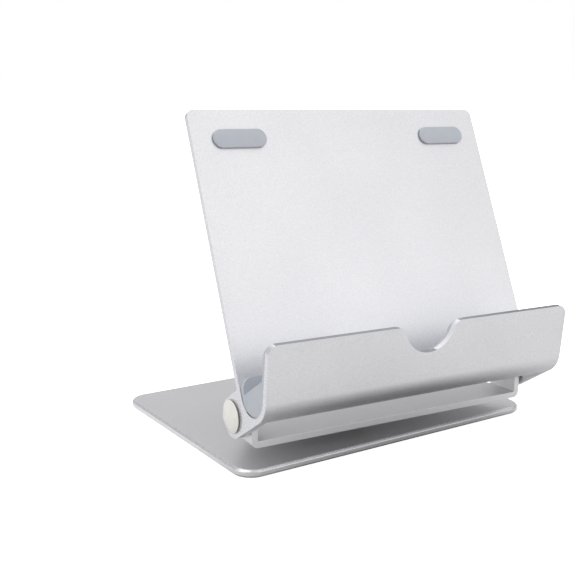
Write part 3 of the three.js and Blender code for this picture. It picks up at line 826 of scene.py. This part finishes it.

# The floor glows white for the camera alone. The light it sends up is dimmer from a painted shadow in
# front of the stand: the shadow's centre, how much its x is squeezed, and the distances of its edge.
FLOOR_HALF = 30.0
FLOOR_GLOW = 1.0
FLOOR_SHADE = 0.8
PAINTED_SHADOW_GREY = 0.12
SHADOW_CENTRE_Y = -78 * MM
SHADOW_SQUEEZE = 0.55
SHADOW_START = 20 * MM
SHADOW_END = 75 * MM

# The sky's light from the horizon up, as (height, colour). It is dimmer at the front left than at
# the back right: that direction, the two strengths, and how far along it each of them holds.
SKY = [
    (0.0, (0.55, 0.55, 0.55)),
    (0.1, (0.55, 0.55, 0.55)),
    (0.25, (0.48, 0.48, 0.49)),
    (1.0, (0.45, 0.45, 0.46)),
]
SKY_AIM = (0.86, 0.5, 0)
SKY_FRONT = 0.4
SKY_BACK = 0.85
SKY_FRONT_AT = -0.8
SKY_BACK_AT = 0.3

# Soft lights: where each comes from, its width in degrees and its strength.
LIGHTS = {
    "key": ((0.45, -0.75, 0.33), 50, 0.54),
    "top": ((0.1, 0.05, 1.0), 80, 1.4),
    "rim": ((-0.3, 0.7, 0.6), 80, 0.1),
    "fill": ((-0.9, -0.1, 0.45), 60, 1.0),
}


def camera():
    """The camera fitted to the photo's straight edges."""
    data = bpy.data.cameras.new("camera")
    data.lens = CAMERA_LENS
    data.sensor_width = CAMERA_SENSOR
    place = bpy.data.objects.new("camera", data)
    heading = Matrix.Rotation(CAMERA_AZIMUTH, 4, "Z")
    turn = heading @ Matrix.Rotation(math.pi / 2 - CAMERA_ELEVATION, 4, "X")
    roll = Matrix.Rotation(CAMERA_ROLL, 4, "Z")
    place.matrix_world = Matrix.Translation(CAMERA_PLACE) @ turn @ roll
    bpy.context.scene.collection.objects.link(place)
    bpy.context.scene.camera = place


def sun(name, direction, width, strength):
    """A far, soft light that comes from the given direction, its width in degrees."""
    data = bpy.data.lights.new(name, "SUN")
    data.angle = math.radians(width)
    data.energy = strength
    lamp = bpy.data.objects.new(name, data)
    lamp.rotation_mode = "QUATERNION"
    lamp.rotation_quaternion = Vector(direction).to_track_quat("Z", "Y")
    bpy.context.scene.collection.objects.link(lamp)


def is_camera_ray(nodes):
    return nodes.new("ShaderNodeLightPath").outputs["Is Camera Ray"]


def floor():
    """A pale floor that the camera sees as white."""
    material, nodes, links, shader = node_material("pale_floor")
    place = nodes.new("ShaderNodeTexCoord")
    shape = nodes.new("ShaderNodeMapping")
    shape.inputs["Location"].default_value = (0, -SHADOW_CENTRE_Y, 0)
    shape.inputs["Scale"].default_value = (SHADOW_SQUEEZE, 1, 1)
    reach = nodes.new("ShaderNodeVectorMath")
    reach.operation = "LENGTH"
    links.new(place.outputs["Object"], shape.inputs["Vector"])
    links.new(shape.outputs["Vector"], reach.inputs[0])
    # Painted shadow: a darker grey round the stand's front, fading out to the open floor's grey.
    painted_shadow, far = [(grey, grey, grey) for grey in (PAINTED_SHADOW_GREY, FLOOR_SHADE)]
    away = spread(nodes, links, reach.outputs["Value"], 0, 1, SHADOW_START, SHADOW_END)
    links.new(tint(nodes, links, away, painted_shadow, far), shader.inputs["Base Color"])
    shader.inputs["Roughness"].default_value = 0.9
    shader.inputs["Specular IOR Level"].default_value = 0.1
    shader.inputs["Emission Color"].default_value = WHITE
    seen = spread(nodes, links, is_camera_ray(nodes), 0, FLOOR_GLOW, 0, 1)
    links.new(seen, shader.inputs["Emission Strength"])
    half = FLOOR_HALF
    corners = [(-half, -half, 0), (half, -half, 0), (half, half, 0), (-half, half, 0)]
    ground = new_piece("floor", corners, [(0, 1, 2, 3)])
    ground.data.materials.append(material)


def sky():
    """White for the camera, and a dimmer grey for the light that falls on the stand."""
    world = bpy.data.worlds.new("studio")
    bpy.context.scene.world = world
    world.use_nodes = True
    nodes, links = world.node_tree.nodes, world.node_tree.links
    place = nodes.new("ShaderNodeTexCoord")
    split = nodes.new("ShaderNodeSeparateXYZ")
    ramp = nodes.new("ShaderNodeValToRGB")
    links.new(place.outputs["Generated"], split.inputs["Vector"])
    links.new(split.outputs["Z"], ramp.inputs["Fac"])
    stops = ramp.color_ramp.elements
    for stop, (height, colour) in ((stops[0], SKY[0]), (stops[1], SKY[-1])):
        stop.position = height
        stop.color = (*colour, 1)
    for height, colour in SKY[1:-1]:
        stops.new(height).color = (*colour, 1)
    light = nodes["Background"]
    links.new(ramp.outputs["Color"], light.inputs["Color"])
    aim = nodes.new("ShaderNodeVectorMath")
    aim.operation = "DOT_PRODUCT"
    aim.inputs[1].default_value = SKY_AIM
    links.new(place.outputs["Generated"], aim.inputs[0])
    towards_back = aim.outputs["Value"]
    strength = spread(nodes, links, towards_back, SKY_FRONT, SKY_BACK, SKY_FRONT_AT, SKY_BACK_AT)
    links.new(strength, light.inputs["Strength"])
    seen = nodes.new("ShaderNodeBackground")
    seen.inputs["Color"].default_value = WHITE
    both = nodes.new("ShaderNodeMixShader")
    links.new(is_camera_ray(nodes), both.inputs["Fac"])
    links.new(light.outputs["Background"], both.inputs[1])
    links.new(seen.outputs["Background"], both.inputs[2])
    links.new(both.outputs["Shader"], nodes["World Output"].inputs["Surface"])


def studio():
    floor()
    sky()
    for name, light in LIGHTS.items():
        sun(name, *light)
    bpy.context.scene.view_settings.view_transform = "Standard"


camera()
studio()
base_plate()
feet()
swivel_bracket()
tilt_holder()
trough_liner()
for WORD, SIDE in (("left", -1), ("right", 1)):
    corner_pad(WORD, SIDE)
    hinge_cap(WORD, SIDE)
cad_hardware()
